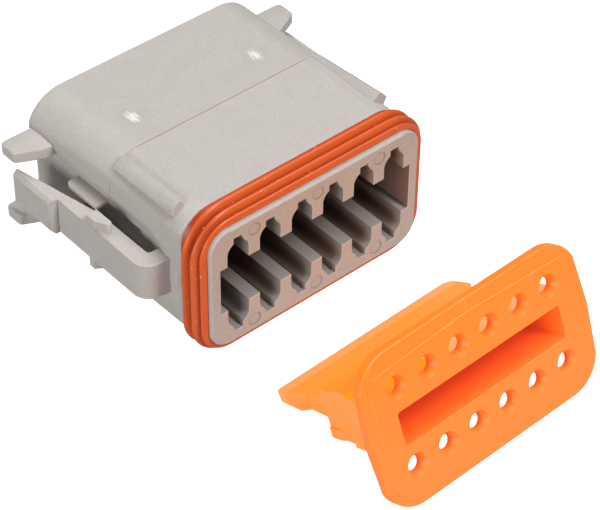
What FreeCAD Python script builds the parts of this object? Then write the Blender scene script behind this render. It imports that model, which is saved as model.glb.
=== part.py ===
"""Sealed automotive connector: a 12-way plug (socket side) and its wedge lock.

The plug is one moulding: a rounded rectangular body with a nose in front, two
rows of six contact cavities, a central slot for the wedge lock, a latch arm on
each side and four guard fins behind the latches. A ribbed silicone ring sits
on the nose, and a silicone grommet with twelve wire holes fills the back. The
wedge lock is taken off and lies in front of the plug, tipped on the lower edge
of its plate and on the tip of its tongue.

Design frame of the plug and of the wedge, in mm: X along the rows of cavities,
Y from the mating face to the wires, Z up. rest() tips each on its two low
edges and puts it on z = 0.
"""
import FreeCAD, Part
import math
import os
from FreeCAD import Vector as V

os.makedirs("parts", exist_ok=True)

OVER = 0.5              # added parts reach this far into their neighbour
PAST = 1.0              # and cuts this far past the surface

# Contact layout
PITCH = 5.84            # between neighbouring cavities of a row
COLUMNS = 6
ROW_Z = 6.05            # cavity axis above and below the middle plane
CAV_R = 1.90            # radius of a cavity
NECK_W = 1.55           # keyway on the outer side of a cavity
NECK_Z = 8.75           # top of the keyway
NECK_STEP = 0.45        # cheek beside the keyway, below its top
CHEEK_X = 1.14
CHEEK_Z = 7.72
BORE_R = 1.65           # round wire passage behind the cavity

# Central slot and retention fingers
SLOT_W = 35.6
SLOT_H = 8.24
SLOT_DEPTH = 21.5       # where the fingers root
TONGUE_H = 4.3          # height of the narrow part behind the roots
TONGUE_DEPTH = 26.5
FINGER_W = 2.5
FINGER_T = 1.80
FINGER_TIP_Y = 13.4
FINGER_SINK = 0.10      # below the cavity's open side
FINGER_NOSE = (0.60, 0.35)  # bevel under the tip
BARB = 0.75             # how far the barb stands into the cavity
BARB_RISE = 0.40
BARB_LEN = 1.5
BARB_FALL = 1.10

# Nose
NOSE_W = 38.95
NOSE_H = 21.4
NOSE_R = 3.5
NOSE_BEVEL = 0.30
MARK_R = 1.0            # six shallow round marks on the mating face
MARK_Z = 8.55
MARK_DEPTH = 0.10

# Body: the arcs of the upper and lower corners end in a crease at the sides
SIDE_X = 21.0           # half width at the middle plane
BODY_Y = 5.25           # front shoulder behind the seal
PART_Y = 21.25          # parting line
REAR_Y = 40.4
FRONT_TOP = 11.60       # half height at the shoulder
FRONT_R = 5.5
FRONT_FLAT = 15.25      # half width of the flat top
PART_TOP = 11.73        # front half, at the parting line
PART_R = 5.3
PART_FLAT = 15.55
PROUD = 0.13            # the rear half stands proud of the front half by this much
REAR_TOP = 11.50        # half height at the back end
REAR_R = 6.6
REAR_FLAT = 14.86
CREASE_IN = (0.60, 0.45, 0.38, 0.06)    # crease inside SIDE_X: shoulder, front and rear half at the line, back
SHOULDER_BEVEL = 0.35
REAR_BEVEL = 0.20

# Key ribs on the upper corners, as (x, z) at their front end and at the parting line, where they run out
KEY_Y = 7.75
KEY_FRONT = [(19.1, 8.9), (20.05, 10.8), (19.5, 11.6), (19.0, 12.1), (18.4, 12.35)]
KEY_REAR = [(19.1, 8.9), (19.75, 10.2), (19.35, 10.8), (19.0, 11.15), (17.9, 11.85)]
KEY_FOOT = {1: (16.8, 10.9), -1: (17.4, 10.7)}      # inner foot, below the surface: right rib, left rib

# Latch
LATCH_H = 6.3
LATCH_ROOT_Y = 7.3      # front of the root on the body wall
LATCH_FRONT_Y = 7.6
LATCH_OUT_X = SIDE_X + 4.2
ARM_T = 2.75
BEND_R = 2.85
SLIT_Y = 10.3           # front end of the slit between arm and body
SLIT_R = 0.55
TAPER_Y = 21.6          # from here the arm thins towards its free end
ARM_END_Y = 37.1
ARM_END_T = 0.95
TAB_Y = 27.8
TAB_OUT = 1.30          # thumb tab beyond the arm
TAB_R = 1.00
TAB_BEVEL = 0.62

# Catch teeth, above and below the arm
TOOTH_H = 1.70
TOOTH_W = 1.80
TOOTH_INSET = 0.05
TOOTH_BACK_Y = 20.9
TOOTH_UPPER = (17.0, 2.1)   # front end along Y and length of the lead-in
TOOTH_LOWER = (18.9, 0.8)
TOOTH_NOSE = 0.95       # width of the lead-in
TOOTH_BLUNT = 0.40      # cut off the inner front corner

# Channel beside the latch, with a cored pocket and a stop
CHANNEL_DEPTH = 0.95
WALL_X = SIDE_X - CHANNEL_DEPTH
CHANNEL_H = 7.4
CHANNEL_LIP = (1.25, 3.8)   # slope of its lips, outwards and upwards
CHANNEL_Y = 12.5        # full depth from here
CHANNEL_RUN_OUT = 5.2   # and rising to the side in front of it
POCKET_Y = 15.0
POCKET_H = 5.8
POCKET_END = 1.0        # short of the stop's back
POCKET_DEPTH = 1.35
STOP_Y0 = 22.5
STOP_Y1 = 29.6
STOP_H = 7.3
STOP_GAP = 0.06
STOP_OUT_X = LATCH_OUT_X - ARM_T - STOP_GAP
STOP_CORNER = 0.85

# Guard fins
FIN_Z0 = 4.9
FIN_Z1 = 7.0
FIN_Y_ROOT = 34.2
FIN_Y_TIP = 36.3
FIN_BACK_Y = 39.7
FIN_RIDGE_Y = 37.5
FIN_DRAFT = 0.22
FIN_OUT_X = SIDE_X + 5.6
FIN_FLAT_X = SIDE_X + 1.3
FIN_R = 0.8
FIN_EDGE = 0.40
FIN_ROOT_X = WALL_X - 1.5

# Back pocket and grommet
BACK_WALL = 0.95        # round the pocket
BACK_ROOF = 1.60
BACK_W = 2 * (WALL_X - BACK_WALL)
BACK_H = 2 * (REAR_TOP - BACK_ROOF)
BACK_R = 4.4
BACK_DEPTH = 9.0
SEAT = 0.10             # clearance round each soft piece
GROMMET_RECESS = 1.0
GROMMET_RIBS = 3
GROMMET_RIB = 0.45
WIRE_R = 1.25           # wire hole in the grommet
WIRE_LIP = 0.25         # sealing lip in the front half of each hole
LIP_PLACES = (0.25,)    # along the hole, as shares of the grommet's length
LIP_W = 0.09            # half width of a lip, the same way

# Interface seal: profile as (y, height over the nose)
SEAL_FRONT = [(0.72, 0.80), (0.80, 1.02), (0.97, 1.12), (1.15, 1.02)]   # low lip in front
SEAL_RIB_A = (1.32, 2.62, 0.80, 2.00)   # y from, y to, groove height, crest height
SEAL_RIB_B = (2.98, 4.52, 0.70, 2.05)
SEAL_BACK_D = 1.00
SEAL_CREST = [(0.0, 0.0), (0.13, 0.42), (0.24, 0.72), (0.34, 0.91), (0.44, 0.99)]  # half of a rib
SEAL_THIN = 1.73        # the corners' radius grows faster than the height, so the ring is thinner there

# Wedge lock
PLATE_T = 1.60
PLATE_X = 20.95         # half width at the middle
PLATE_H = 23.5
PLATE_R = 6.0
PLATE_FLAT = 14.75
PLATE_CREASE = 0.55     # the sides lean in by this much above and below
PAD_H = 0.12            # raised field on the plate
PAD_W = 38.2
PAD_END_H = 17.9
PAD_MID_H = 19.8
PAD_R = 1.4             # at the field's corners
PIN_R = 1.15            # hole for the mating pin
SINK_R = 1.80
SINK_DEPTH = 0.75
SLOT_CLEAR = 0.18       # wedge shoulder in the housing's slot, per side
SHOULDER_Y = 8.5        # plate-side block, full height of the slot
BLOCK_Y = 14.2          # second block, a little narrower
BLOCK_IN = 0.70
WAIST_W = 32.1          # tongue behind the block
WAIST_H = 3.75
TIP_W = 34.3
TIP_H = 1.70
HOOK_Y = 18.9
HOOK_RAMP = 0.95
TIP_Y = 24.05
TIP_POINT = 1.45         # bevelled end of the tongue
TIP_POINT_H = 0.90
NUB = 0.35
NUB_Y0 = 11.0
NUB_Z0 = 2.3
NUB_Z1 = 3.9
NUB_RAMP = 0.95
NUB_END = 0.2           # short of the block's end
HOLLOW_W = 31.2
HOLLOW_H = 5.2
HOLLOW_DEPTH = 13.0
HOLLOW_DRAFT = 0.35
HOLLOW_R = 0.5
EDGE = 0.25             # rounded edge of the plate

# How the two lie
LOCK_X = 1.0            # wedge centre beside the plug's
LOCK_GAP = 9.25         # floor between the tongue and the plug
LOCK_YAW = 1.5          # degrees


def rr_wire(w, h, r, y):
    """Rounded rectangle in the XZ plane at depth y."""
    x, z = w / 2.0, h / 2.0
    a = r * (1 - math.sqrt(0.5))
    P = lambda px, pz: V(px, y, pz)
    e = [Part.makeLine(P(-x + r, z), P(x - r, z)),
         Part.Arc(P(x - r, z), P(x - a, z - a), P(x, z - r)).toShape(),
         Part.makeLine(P(x, z - r), P(x, -z + r)),
         Part.Arc(P(x, -z + r), P(x - a, -z + a), P(x - r, -z)).toShape(),
         Part.makeLine(P(x - r, -z), P(-x + r, -z)),
         Part.Arc(P(-x + r, -z), P(-x + a, -z + a), P(-x, -z + r)).toShape(),
         Part.makeLine(P(-x, -z + r), P(-x, z - r)),
         Part.Arc(P(-x, z - r), P(-x + a, z - a), P(-x + r, z)).toShape()]
    return Part.Wire(e)


def body_wire(y, top, r, flat, inside, half=SIDE_X):
    """Section at depth y: flat top, corner arcs up to a crease, and sides that lean out to half at the middle."""
    x = half - inside
    mid = math.atan2(x - flat, math.sqrt(r * r - (x - flat) ** 2)) / 2
    z = top - r + math.sqrt(r * r - (x - flat) ** 2)
    arc = (flat + r * math.sin(mid), top - r + r * math.cos(mid))
    edges = []
    for sx, sz in ((1, 1), (1, -1), (-1, -1), (-1, 1)):
        a, b, c = V(sx * flat, y, sz * top), V(sx * arc[0], y, sz * arc[1]), V(sx * x, y, sz * z)
        bend, side = Part.Arc(a, b, c).toShape(), Part.makeLine(c, V(sx * half, y, 0))
        edges += [bend, side] if sx * sz > 0 else [side, bend]
        if sx * sz < 0:
            edges.append(Part.makeLine(a, V(-a.x, y, a.z)))
    return Part.Wire(edges)


def rr_prism(w, h, r, y0, y1):
    return Part.Face(rr_wire(w, h, r, y0)).extrude(V(0, y1 - y0, 0))


def rr_loft(a, b):
    return Part.makeLoft([rr_wire(*a), rr_wire(*b)], True, True)


def box(x0, x1, y0, y1, z0, z1):
    return Part.makeBox(x1 - x0, y1 - y0, z1 - z0, V(x0, y0, z0))


def prism_y(points, y0, y1):
    """Polygon of (x, z) points drawn out along Y."""
    p = [V(x, y0, z) for x, z in points]
    return Part.Face(Part.makePolygon(p + [p[0]])).extrude(V(0, y1 - y0, 0))


def prism_z(points, z0, z1):
    """Polygon of (x, y) points drawn out along Z."""
    p = [V(x, y, z0) for x, y in points]
    return Part.Face(Part.makePolygon(p + [p[0]])).extrude(V(0, 0, z1 - z0))


def prism_x(points, x0, x1):
    """Polygon of (y, z) points drawn out along X."""
    p = [V(x0, y, z) for y, z in points]
    return Part.Face(Part.makePolygon(p + [p[0]])).extrude(V(x1 - x0, 0, 0))


def cyl_y(x, z, r, y0, y1):
    return Part.makeCylinder(r, y1 - y0, V(x, y0, z), V(0, 1, 0))


def edges_at_y(shape, y):
    return [e for e in shape.Edges
            if abs(e.BoundBox.YMin - y) < 1e-3 and abs(e.BoundBox.YMax - y) < 1e-3]


def mirror_x(s):
    return s.mirror(V(0, 0, 0), V(1, 0, 0))


def mirror_z(s):
    return s.mirror(V(0, 0, 0), V(0, 0, 1))


COLS = [(i - (COLUMNS - 1) / 2.0) * PITCH for i in range(COLUMNS)]


# Housing
def body_block():
    nose = rr_prism(NOSE_W, NOSE_H, NOSE_R, 0, BODY_Y + OVER)
    nose = nose.makeChamfer(NOSE_BEVEL, edges_at_y(nose, 0))
    shoulder, line, behind, back = CREASE_IN
    front = Part.makeLoft([body_wire(BODY_Y, FRONT_TOP, FRONT_R, FRONT_FLAT, shoulder),
                           body_wire(PART_Y, PART_TOP, PART_R, PART_FLAT, line)], True, True)
    front = front.makeChamfer(SHOULDER_BEVEL, edges_at_y(front, BODY_Y))
    rear = Part.makeLoft([body_wire(PART_Y, PART_TOP + PROUD, REAR_R, REAR_FLAT, behind),
                          body_wire(REAR_Y, REAR_TOP, REAR_R, REAR_FLAT, back)], True, True)
    rear = rear.makeFillet(REAR_BEVEL, edges_at_y(rear, REAR_Y))
    return nose.fuse([front, rear])


def key_rib(side):
    ends = []
    for y, points in ((KEY_Y, KEY_FRONT), (PART_Y, KEY_REAR)):
        p = [V(side * x, y, z) for x, z in points + [KEY_FOOT[side]]]
        ends.append(Part.makePolygon(p + [p[0]]))
    return Part.makeLoft(ends, True, True)


def channel():
    """Recess beside the latch on the +X side; it rises to the side wall in front."""
    def section(y, wall):
        h = CHANNEL_H / 2
        out, up = CHANNEL_LIP
        p = [V(wall, y, -h), V(wall, y, h), V(wall + out, y, h + up), V(wall + FIN_OUT_X, y, h + up),
             V(wall + FIN_OUT_X, y, -h - up), V(wall + out, y, -h - up)]
        return Part.makePolygon(p + [p[0]])

    ramp = Part.makeLoft([section(CHANNEL_Y - CHANNEL_RUN_OUT, SIDE_X), section(CHANNEL_Y, WALL_X)], True, True)
    run = Part.Face(section(CHANNEL_Y, WALL_X)).extrude(V(0, REAR_Y + PAST - CHANNEL_Y, 0))
    return ramp.fuse(run)


def cavity_cut():
    """One upper cavity: keyway, round part, the open side towards the slot and the wire passage behind."""
    n = NECK_W / 2
    key = prism_y([(-n, ROW_Z), (-n, NECK_Z), (n, NECK_Z), (n, NECK_Z - NECK_STEP), (CHEEK_X, CHEEK_Z), (CHEEK_X, ROW_Z)],
                  -PAST, SLOT_DEPTH)
    top = cyl_y(0, ROW_Z, CAV_R, -PAST, SLOT_DEPTH)
    side = box(-CAV_R, CAV_R, -PAST, SLOT_DEPTH, SLOT_H / 2 - OVER, ROW_Z)
    wire = cyl_y(0, ROW_Z, BORE_R, SLOT_DEPTH - OVER, REAR_Y)
    return key.fuse([top, side, wire])


def finger():
    """Retention finger under an upper cavity, rooted at the back of the slot."""
    z1 = SLOT_H / 2 - FINGER_SINK
    z0 = z1 - FINGER_T
    tip, root = FINGER_TIP_Y, SLOT_DEPTH + OVER
    back, up = FINGER_NOSE
    pts = [(tip, z0 + up), (tip, z1), (tip + BARB_RISE, z1 + BARB), (tip + BARB_LEN, z1 + BARB),
           (tip + BARB_LEN + BARB_FALL, z1), (root, z1), (root, z0), (tip + back, z0)]
    return prism_x(pts, -FINGER_W / 2, FINGER_W / 2)


def latch():
    """Latch arm on the +X side, with thumb tab and the two catch teeth."""
    xo, xi = LATCH_OUT_X, LATCH_OUT_X - ARM_T
    xr = WALL_X - OVER
    r, s = BEND_R, SLIT_R
    k = 1 - math.sqrt(0.5)
    P = lambda x, y: V(x, y, -LATCH_H / 2)
    tab_x = xo + TAB_OUT
    e = [Part.makeLine(P(xr, LATCH_ROOT_Y), P(xo - r, LATCH_FRONT_Y)),
         Part.Arc(P(xo - r, LATCH_FRONT_Y), P(xo - k * r, LATCH_FRONT_Y + k * r), P(xo, LATCH_FRONT_Y + r)).toShape(),
         Part.makeLine(P(xo, LATCH_FRONT_Y + r), P(xo, TAB_Y)),
         Part.makeLine(P(xo, TAB_Y), P(tab_x - TAB_R, TAB_Y)),
         Part.Arc(P(tab_x - TAB_R, TAB_Y), P(tab_x - k * TAB_R, TAB_Y + k * TAB_R), P(tab_x, TAB_Y + TAB_R)).toShape(),
         Part.makeLine(P(tab_x, TAB_Y + TAB_R), P(tab_x, ARM_END_Y)),
         Part.makeLine(P(tab_x, ARM_END_Y), P(tab_x - ARM_END_T, ARM_END_Y)),
         Part.makeLine(P(tab_x - ARM_END_T, ARM_END_Y), P(xi, TAPER_Y)),
         Part.makeLine(P(xi, TAPER_Y), P(xi, SLIT_Y + s)),
         Part.Arc(P(xi, SLIT_Y + s), P(xi - k * s, SLIT_Y + k * s), P(xi - s, SLIT_Y)).toShape(),
         Part.makeLine(P(xi - s, SLIT_Y), P(xr, SLIT_Y)),
         Part.makeLine(P(xr, SLIT_Y), P(xr, LATCH_ROOT_Y))]
    arm = Part.Face(Part.Wire(e)).extrude(V(0, 0, LATCH_H))
    h, b = LATCH_H / 2, TAB_BEVEL
    far_x, far_z = tab_x + PAST, h + PAST
    bevel = prism_y([(tab_x - b, far_z), (tab_x - b, h), (tab_x, h - b), (far_x, h - b), (far_x, far_z)],
                    TAB_Y - PAST, ARM_END_Y + PAST)
    arm = arm.cut([bevel, mirror_z(bevel)])
    lower = tooth(*TOOTH_LOWER).mirror(V(0, 0, 0), V(0, 0, 1))
    return arm.fuse([tooth(*TOOTH_UPPER), lower])


def tooth(front, lead):
    """Catch tooth on the upper side of the arm, from front to TOOTH_BACK_Y, with a slanting lead-in."""
    x1 = LATCH_OUT_X - TOOTH_INSET
    x0 = x1 - TOOTH_W
    c = TOOTH_BLUNT
    return prism_z([(x0, front + c), (x0 + c, front), (x1 - TOOTH_NOSE, front + c / 2), (x1, front + lead),
                    (x1, TOOTH_BACK_Y), (x0, TOOTH_BACK_Y)], LATCH_H / 2 - OVER, LATCH_H / 2 + TOOTH_H)


def stop_block():
    """Shelf on the side wall that ends the slit and limits the arm's travel."""
    h = STOP_H / 2
    root = WALL_X - OVER
    s = prism_z([(root, STOP_Y0), (STOP_OUT_X, STOP_Y0), (STOP_OUT_X, STOP_Y1), (root, STOP_Y1)], -h, h)
    corner = [e for e in s.Edges if e.BoundBox.XMin > STOP_OUT_X - 0.01 and e.BoundBox.YMin > STOP_Y1 - 0.01]
    return s.makeFillet(STOP_CORNER, corner)


def fin():
    """Upper guard fin on the +X side, with rounded edges and a low ridge across both of its faces."""
    root = FIN_ROOT_X
    blade = prism_z([(root, FIN_Y_ROOT), (FIN_FLAT_X, FIN_Y_ROOT), (FIN_OUT_X, FIN_Y_TIP),
                     (FIN_OUT_X, FIN_BACK_Y), (root, FIN_BACK_Y)], FIN_Z0, FIN_Z1)
    upright = [e for e in blade.Edges if e.BoundBox.ZLength > OVER and e.BoundBox.XMin > root + OVER]
    blade = blade.makeFillet(FIN_R, upright)
    rim = [e for e in blade.Edges if e.BoundBox.ZLength < OVER and e.BoundBox.XMax > root + OVER]
    blade = blade.makeFillet(FIN_EDGE, rim)
    y0, y1, d = FIN_Y_ROOT - PAST, FIN_BACK_Y + PAST, FIN_DRAFT
    side = prism_x([(y0, FIN_Z0 + d), (FIN_RIDGE_Y, FIN_Z0), (y1, FIN_Z0 + d),
                    (y1, FIN_Z1 - d), (FIN_RIDGE_Y, FIN_Z1), (y0, FIN_Z1 - d)], root - PAST, FIN_OUT_X + PAST)
    return blade.common(side)


def housing():
    body = body_block()
    chan = channel()
    floor_x, half = WALL_X - POCKET_DEPTH, POCKET_H / 2
    pocket = box(floor_x, WALL_X + PAST, POCKET_Y, STOP_Y1 - POCKET_END, -half, half)
    under = box(floor_x, STOP_OUT_X + PAST, STOP_Y0 - PAST, STOP_Y1 + PAST, -half, half)
    body = body.fuse([key_rib(1), key_rib(-1)])
    body = body.cut([chan, mirror_x(chan)])
    adds = []
    for s in (latch(), stop_block().cut(under), fin(), mirror_z(fin())):
        adds += [s, mirror_x(s)]
    body = body.fuse(adds)
    body = body.cut([pocket, mirror_x(pocket)])
    # inside
    cuts = [box(-SLOT_W / 2, SLOT_W / 2, -PAST, SLOT_DEPTH, -SLOT_H / 2, SLOT_H / 2),
            box(-SLOT_W / 2, SLOT_W / 2, SLOT_DEPTH - OVER, TONGUE_DEPTH, -TONGUE_H / 2, TONGUE_H / 2)]
    up = cavity_cut()
    down = up.copy()
    down.rotate(V(0, 0, 0), V(0, 1, 0), 180)
    for x in COLS:
        for s in (up, down):
            c = s.copy()
            c.translate(V(x, 0, 0))
            cuts.append(c)
    for x in (-2 * PITCH, 0, 2 * PITCH):
        for z in (-MARK_Z, MARK_Z):
            cuts.append(cyl_y(x, z, MARK_R, -PAST, MARK_DEPTH))
    cuts.append(rr_prism(BACK_W, BACK_H, BACK_R, REAR_Y - BACK_DEPTH, REAR_Y + PAST))
    body = body.cut(cuts)
    fingers = []
    f = finger()
    for x in COLS:
        for s in (f, mirror_z(f)):
            c = s.copy()
            c.translate(V(x, 0, 0))
            fingers.append(c)
    return body.fuse(fingers).removeSplitter()


# Soft pieces
def interface_seal():
    """Silicone ring on the nose: a low lip in front and two ribs."""
    def rib(y0, y1, low, top):
        rise = [(y0 + f * (y1 - y0), low + k * (top - low)) for f, k in SEAL_CREST]
        return rise + [(y0 + y1 - y, d) for y, d in reversed(rise)]

    back = BODY_Y - SEAT
    prof = SEAL_FRONT + rib(*SEAL_RIB_A) + rib(*SEAL_RIB_B) + [(back, SEAL_BACK_D)]
    w, h, r = NOSE_W + 2 * SEAT, NOSE_H + 2 * SEAT, NOSE_R + SEAT
    wires = [rr_wire(w + 2 * d, h + 2 * d, r + SEAL_THIN * d, y) for y, d in prof]
    ring = Part.makeLoft(wires, True, True)
    return ring.cut(rr_prism(w, h, r, -PAST, back + PAST))


def grommet():
    y0 = REAR_Y - BACK_DEPTH + SEAT
    y1 = REAR_Y - GROMMET_RECESS
    w, h, r = BACK_W - 2 * SEAT, BACK_H - 2 * SEAT, BACK_R - SEAT
    bands = 2 * GROMMET_RIBS - 1
    step = (y1 - y0) / bands
    parts = []
    for i in range(bands):
        k = 0 if i % 2 == 0 else GROMMET_RIB
        parts.append(rr_prism(w - 2 * k, h - 2 * k, r - k, y0 + i * step, y0 + (i + 1) * step))
    s = parts[0].fuse(parts[1:]).removeSplitter()
    length = y1 - y0
    wall = [(0, -PAST), (WIRE_R, -PAST)]
    for place in LIP_PLACES:
        wall += [(WIRE_R, (place - LIP_W) * length), (WIRE_R - WIRE_LIP, place * length),
                 (WIRE_R, (place + LIP_W) * length)]
    wall += [(WIRE_R, length + PAST), (0, length + PAST)]
    holes = []
    for x in COLS:
        for z in (-ROW_Z, ROW_Z):
            q = [V(x + px, y0 + py, z) for px, py in wall]
            f = Part.Face(Part.makePolygon(q + [q[0]]))
            holes.append(f.revolve(V(x, y0, z), V(0, 1, 0), 360))
    return s.cut(holes)


# Wedge lock
def wedge_lock():
    ends = [body_wire(y, PLATE_H / 2, PLATE_R, PLATE_FLAT, PLATE_CREASE, PLATE_X) for y in (0, PLATE_T)]
    plate = Part.makeLoft(ends, True, True)
    plate = plate.makeFillet(EDGE, edges_at_y(plate, 0) + edges_at_y(plate, PLATE_T))
    x, a, b = PAD_W / 2, PAD_END_H / 2, PAD_MID_H / 2
    pad = prism_y([(-x, -a), (0, -b), (x, -a), (x, a), (0, b), (-x, a)], -PAD_H, PLATE_T / 2)
    corners = [e for e in pad.Edges if e.BoundBox.YLength > OVER and abs(e.BoundBox.XMin) > OVER]
    pad = pad.makeFillet(PAD_R, corners)
    hs = SLOT_H / 2 - SLOT_CLEAR
    ws = SLOT_W / 2 - SLOT_CLEAR
    shoulder = box(-ws, ws, PLATE_T / 2, SHOULDER_Y, -hs, hs)
    wb = ws - BLOCK_IN
    block = box(-wb, wb, SHOULDER_Y - OVER, BLOCK_Y, -hs, hs)
    # the tongue: plan outline with a hook at each end, cut to a tapering side view
    ht, hp = TIP_H / 2, TIP_POINT_H / 2
    wa, wt = WAIST_W / 2, TIP_W / 2
    root, end, we = BLOCK_Y - OVER, TIP_Y + TIP_POINT, wt - TIP_POINT / 2
    plan = prism_z([(-wa, root), (-wa, HOOK_Y), (-wt, HOOK_Y + HOOK_RAMP), (-wt, TIP_Y), (-we, end),
                    (we, end), (wt, TIP_Y), (wt, HOOK_Y + HOOK_RAMP), (wa, HOOK_Y), (wa, root)], -hs, hs)
    side = prism_x([(root, -WAIST_H / 2), (root, WAIST_H / 2), (TIP_Y, ht), (end, hp),
                    (end, -hp), (TIP_Y, -ht)], -ws, ws)
    tongue = plan.common(side)
    nub = prism_z([(wb - OVER, NUB_Y0), (wb, NUB_Y0), (wb + NUB, NUB_Y0 + NUB_RAMP), (wb + NUB, BLOCK_Y - NUB_END),
                   (wb - OVER, BLOCK_Y - NUB_END)], NUB_Z0, NUB_Z1)
    nubs = []
    for s in (nub, mirror_z(nub)):
        nubs += [s, mirror_x(s)]
    w = plate.fuse([pad, shoulder, block, tongue] + nubs)
    d = 2 * HOLLOW_DRAFT
    hollow = rr_loft((HOLLOW_W, HOLLOW_H, HOLLOW_R, -PAD_H - OVER), (HOLLOW_W - d, HOLLOW_H - d, HOLLOW_R, HOLLOW_DEPTH))
    cuts = [hollow]
    for cx in COLS:
        for cz in (-ROW_Z, ROW_Z):
            cuts.append(cyl_y(cx, cz, PIN_R, -PAST, PLATE_T + PAST))
            cuts.append(Part.makeCone(SINK_R, PIN_R, SINK_DEPTH + PAD_H, V(cx, -PAD_H, cz), V(0, 1, 0)))
    return w.cut(cuts).removeSplitter()


# Placing
def rest(shapes, a, b):
    """Turns the shapes about X so that the low points a and b, as (y, z), are level, and lifts them to z = 0."""
    ang = -math.degrees(math.atan2(b[1] - a[1], b[0] - a[0]))
    for s in shapes:
        s.rotate(V(0, 0, 0), V(1, 0, 0), ang)
    low = min(s.BoundBox.ZMin for s in shapes)
    for s in shapes:
        s.translate(V(0, 0, -low))
    return ang


body = housing()
ring = interface_seal()
back = grommet()
lock = wedge_lock()

# the plug rests on the seal's rear rib and on the lower back edge of the housing
crest = ((SEAL_RIB_B[0] + SEAL_RIB_B[1]) / 2, -(NOSE_H / 2 + SEAT + SEAL_RIB_B[3]))
heel = (REAR_Y - REAR_BEVEL, -REAR_TOP)
rest([body, ring, back], crest, heel)

# the wedge rests on the lower back edge of its plate and on the end of its tongue
foot = (PLATE_T - EDGE, -PLATE_H / 2)
toe = (TIP_Y, -TIP_H / 2)
rest([lock], foot, toe)
lock.rotate(V(0, 0, 0), V(0, 0, 1), LOCK_YAW)
lock.translate(V(LOCK_X, body.BoundBox.YMin - LOCK_GAP - lock.BoundBox.YMax, 0))

# the middle of the whole, on the floor, is the origin
nodes = [("housing", body), ("interface_seal", ring), ("wire_grommet", back), ("wedge_lock", lock)]
whole = Part.makeCompound([s for n, s in nodes]).BoundBox
mid = V(-body.BoundBox.Center.x, -(whole.YMin + whole.YMax) / 2, 0)
for name, shape in nodes:
    shape.translate(mid)
    shape.exportStep("parts/%s.step" % name)
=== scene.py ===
# %% [markdown]
# # A sealed plug and its wedge lock
# The object is a grey plastic plug with two rows of contact cavities. A ribbed
# silicone ring sits on its nose, and an orange wedge lock, taken off, lies in
# front of it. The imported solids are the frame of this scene: their shape and
# place are right already, so this script gives them their finish, adds the
# small marks that moulding and handling leave, and sets up light and camera.

# %% Load the frame
import math

import bmesh
import bpy
from mathutils import Euler, Matrix, Vector


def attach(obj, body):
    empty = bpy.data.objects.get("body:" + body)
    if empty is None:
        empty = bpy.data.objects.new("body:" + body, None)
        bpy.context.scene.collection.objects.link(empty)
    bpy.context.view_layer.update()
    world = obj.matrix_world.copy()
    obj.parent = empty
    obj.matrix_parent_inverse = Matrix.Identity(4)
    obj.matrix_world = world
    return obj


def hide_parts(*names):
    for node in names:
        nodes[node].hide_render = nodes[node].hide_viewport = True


MM = 0.001
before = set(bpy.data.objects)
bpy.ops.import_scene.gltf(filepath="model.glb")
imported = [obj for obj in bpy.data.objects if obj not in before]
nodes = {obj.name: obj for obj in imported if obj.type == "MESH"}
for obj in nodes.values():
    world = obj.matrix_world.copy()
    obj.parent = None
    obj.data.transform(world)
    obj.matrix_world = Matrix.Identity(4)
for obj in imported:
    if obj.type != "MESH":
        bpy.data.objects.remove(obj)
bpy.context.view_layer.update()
print("nodes:", ", ".join(sorted(nodes)))

# %% [markdown]
# ## Camera
# A product photograph like this is taken with a long lens from well away, so
# that edges stay nearly parallel. The camera is described the way a
# photographer would: where it stands, which way it looks and how it is rolled.
# Its matrix could also be typed in, but nobody could read or correct that.

# %% Camera
CAMERA_PLACE = Vector((-160.12, -171.32, 234.40)) * MM
CAMERA_HEADING = 42.647     # degrees from +Y towards +X
CAMERA_DOWN = 43.886        # degrees below the horizon
CAMERA_ROLL = 2.636         # degrees
LENS_MM = 135.28
SENSOR_MM = 36.0


def camera_matrix(place, heading, down, roll):
    h, d, r = (math.radians(v) for v in (heading, down, roll))
    forward = Vector((math.sin(h) * math.cos(d), math.cos(h) * math.cos(d), -math.sin(d)))
    level = forward.cross(Vector((0, 0, 1))).normalized()
    right = Matrix.Rotation(r, 3, -forward) @ level
    up = right.cross(forward)
    turn = Matrix((right, up, -forward)).transposed()
    return Matrix.Translation(place) @ turn.to_4x4()


camera_data = bpy.data.cameras.new("camera")
camera_data.lens = LENS_MM
camera_data.sensor_width = SENSOR_MM
camera = bpy.data.objects.new("camera", camera_data)
camera.matrix_world = camera_matrix(CAMERA_PLACE, CAMERA_HEADING, CAMERA_DOWN, CAMERA_ROLL)
bpy.context.collection.objects.link(camera)
bpy.context.scene.camera = camera

# %% [markdown]
# ## Floor
# The background of a catalogue picture is pure white, with no shadow left in
# it. Overexposing a white floor would do that, but would also throw far too
# much light up into the object. So the floor is only pale, and gives off light
# of its own that the camera alone can see.

# %% Floor
FLOOR_SIZE = 6.0      # m
FLOOR_GREY = 0.40
FLOOR_ROUGHNESS = 0.9
FLOOR_LIFT = 1.0      # light that the floor gives to the camera only


def new_material(name):
    material = bpy.data.materials.new(name)
    material.use_nodes = True
    tree = material.node_tree
    return material, tree, tree.nodes["Principled BSDF"]


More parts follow.
